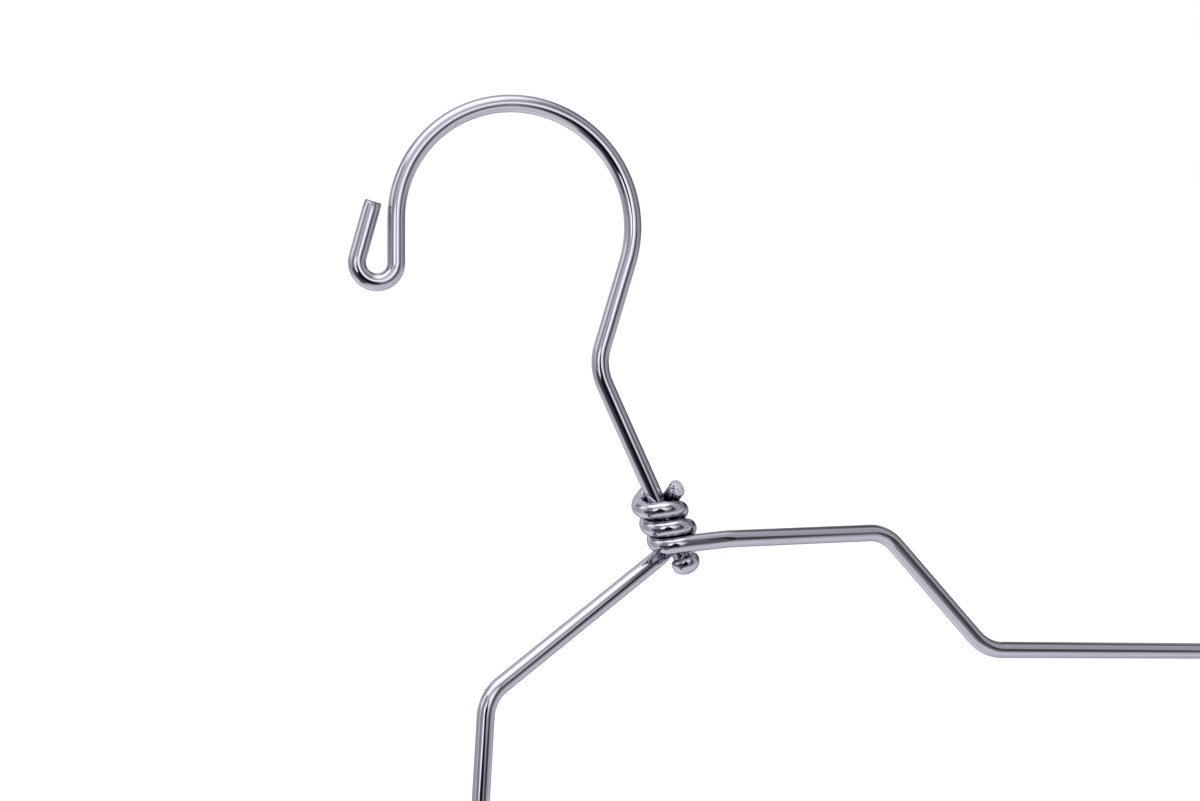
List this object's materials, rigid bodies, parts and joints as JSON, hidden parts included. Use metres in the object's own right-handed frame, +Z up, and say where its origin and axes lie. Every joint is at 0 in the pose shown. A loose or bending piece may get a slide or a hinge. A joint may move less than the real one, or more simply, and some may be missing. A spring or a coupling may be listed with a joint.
{
  "type": "suit hanger",
  "caption": "Bright steel wire suit hanger: a stepped frame with a trouser bar, wound at the neck round the shank of a swivelling hook.",
  "frame": {"origin": "the rail saddle: where the rail touches the underside of the hook's crest", "axes": "+X along the hanger's width, away from the hook's nose; -Y towards the viewer, the side on which the wire's first strand lies at the front of the neck; +Z up"},
  "size_m": [0.4299, 0.0129, 0.2187],
  "materials": {
    "frame_steel": "bright drawn stainless wire, polished",
    "hook_steel": "bright drawn stainless wire, polished"
  },
  "bodies": {
    "hook": {"hook_wire": "hook_steel"},
    "frame": {"frame_wire": "frame_steel"}
  },
  "joints": [
    {"name": "neck_swivel", "type": "hinge", "parent": "hook", "child": "frame", "pos_m": [0.0099, -0.00015, -0.09496], "axis": [-0.0924, 0, 0.9957], "continuous": true}
  ]
}
